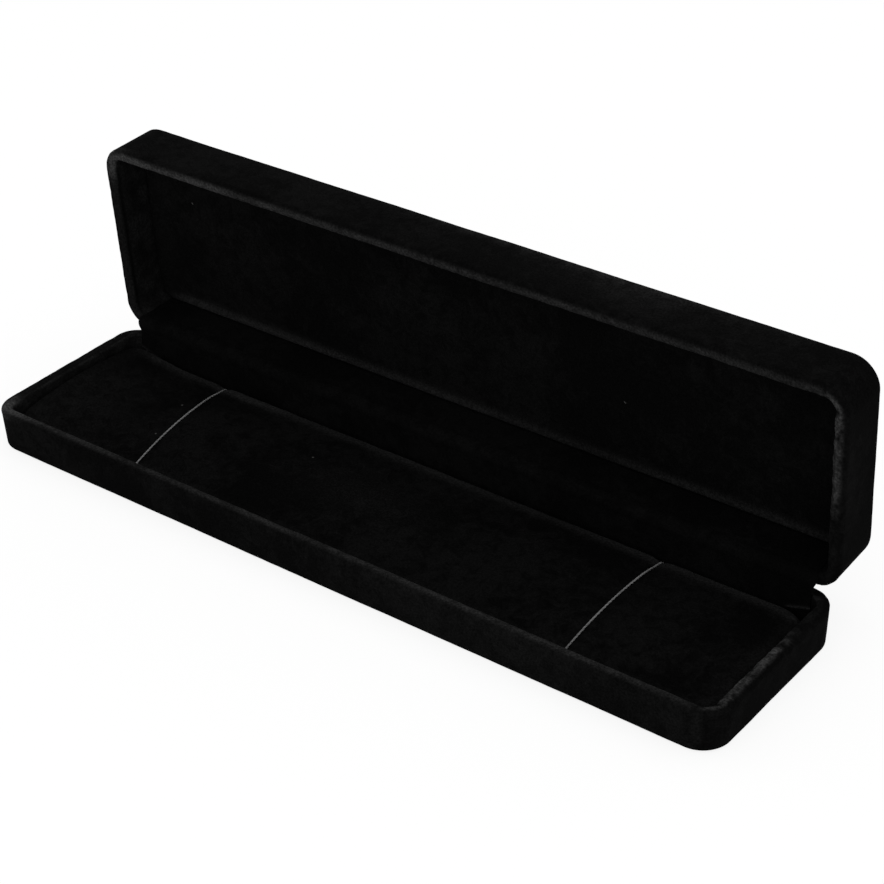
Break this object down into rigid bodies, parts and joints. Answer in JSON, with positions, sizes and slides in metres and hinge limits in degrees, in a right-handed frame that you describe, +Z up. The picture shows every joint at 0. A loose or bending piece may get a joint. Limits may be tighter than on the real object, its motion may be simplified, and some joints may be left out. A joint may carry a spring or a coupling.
{
  "type": "bracelet box",
  "caption": "Long hinged bracelet box in black velvet, lid open, with a crowned pad and elastic threads across it.",
  "frame": {"origin": "middle of the underside, on the surface that the box stands on", "axes": "+X along the case, +Y towards the hinge, +Z up; the lid stands open as in the picture"},
  "size_m": [0.22, 0.0679, 0.0674],
  "materials": {
    "cover_velvet": "black velvet, short upright pile, soft sheen",
    "pad_velvet": "black velvet over foam",
    "lining_velvet": "black velvet over thin wadding",
    "strip_velvet": "black velvet strip over the hinge",
    "elastic": "grey round elastic thread",
    "shell": "moulded, matte black",
    "card": "grey board, matte",
    "foam": "soft open-cell foam and wadding",
    "panel": "black flocked panel",
    "hinge_steel": "black-oxidised sheet steel",
    "spring_steel": "spring steel",
    "rivet_steel": "plated steel"
  },
  "bodies": {
    "base": {"base_shell": "shell", "base_velvet_cover": "cover_velvet", "underside_panel": "panel", "pad_board": "card", "pad_foam": "foam", "pad_velvet_cover": "pad_velvet", "strap_left": "elastic", "strap_right": "elastic", "hinge_leaf_base": "hinge_steel", "base_hinge_rivets": "rivet_steel", "hinge_pin": "hinge_steel", "snap_springs": "spring_steel", "hinge_strip_lower": "strip_velvet"},
    "lid": {"lid_shell": "shell", "lid_velvet_cover": "cover_velvet", "lid_pad_board": "card", "lid_pad_wadding": "foam", "lid_pad_velvet": "lining_velvet", "hinge_leaf_lid": "hinge_steel", "lid_hinge_rivets": "rivet_steel", "hinge_strip_upper": "strip_velvet"}
  },
  "joints": [
    {"name": "lid_hinge", "type": "hinge", "parent": "base", "child": "lid", "pos_m": [0, 0.02665, 0.0131], "axis": [1, 0, 0], "range_deg": [0, 87]}
  ]
}
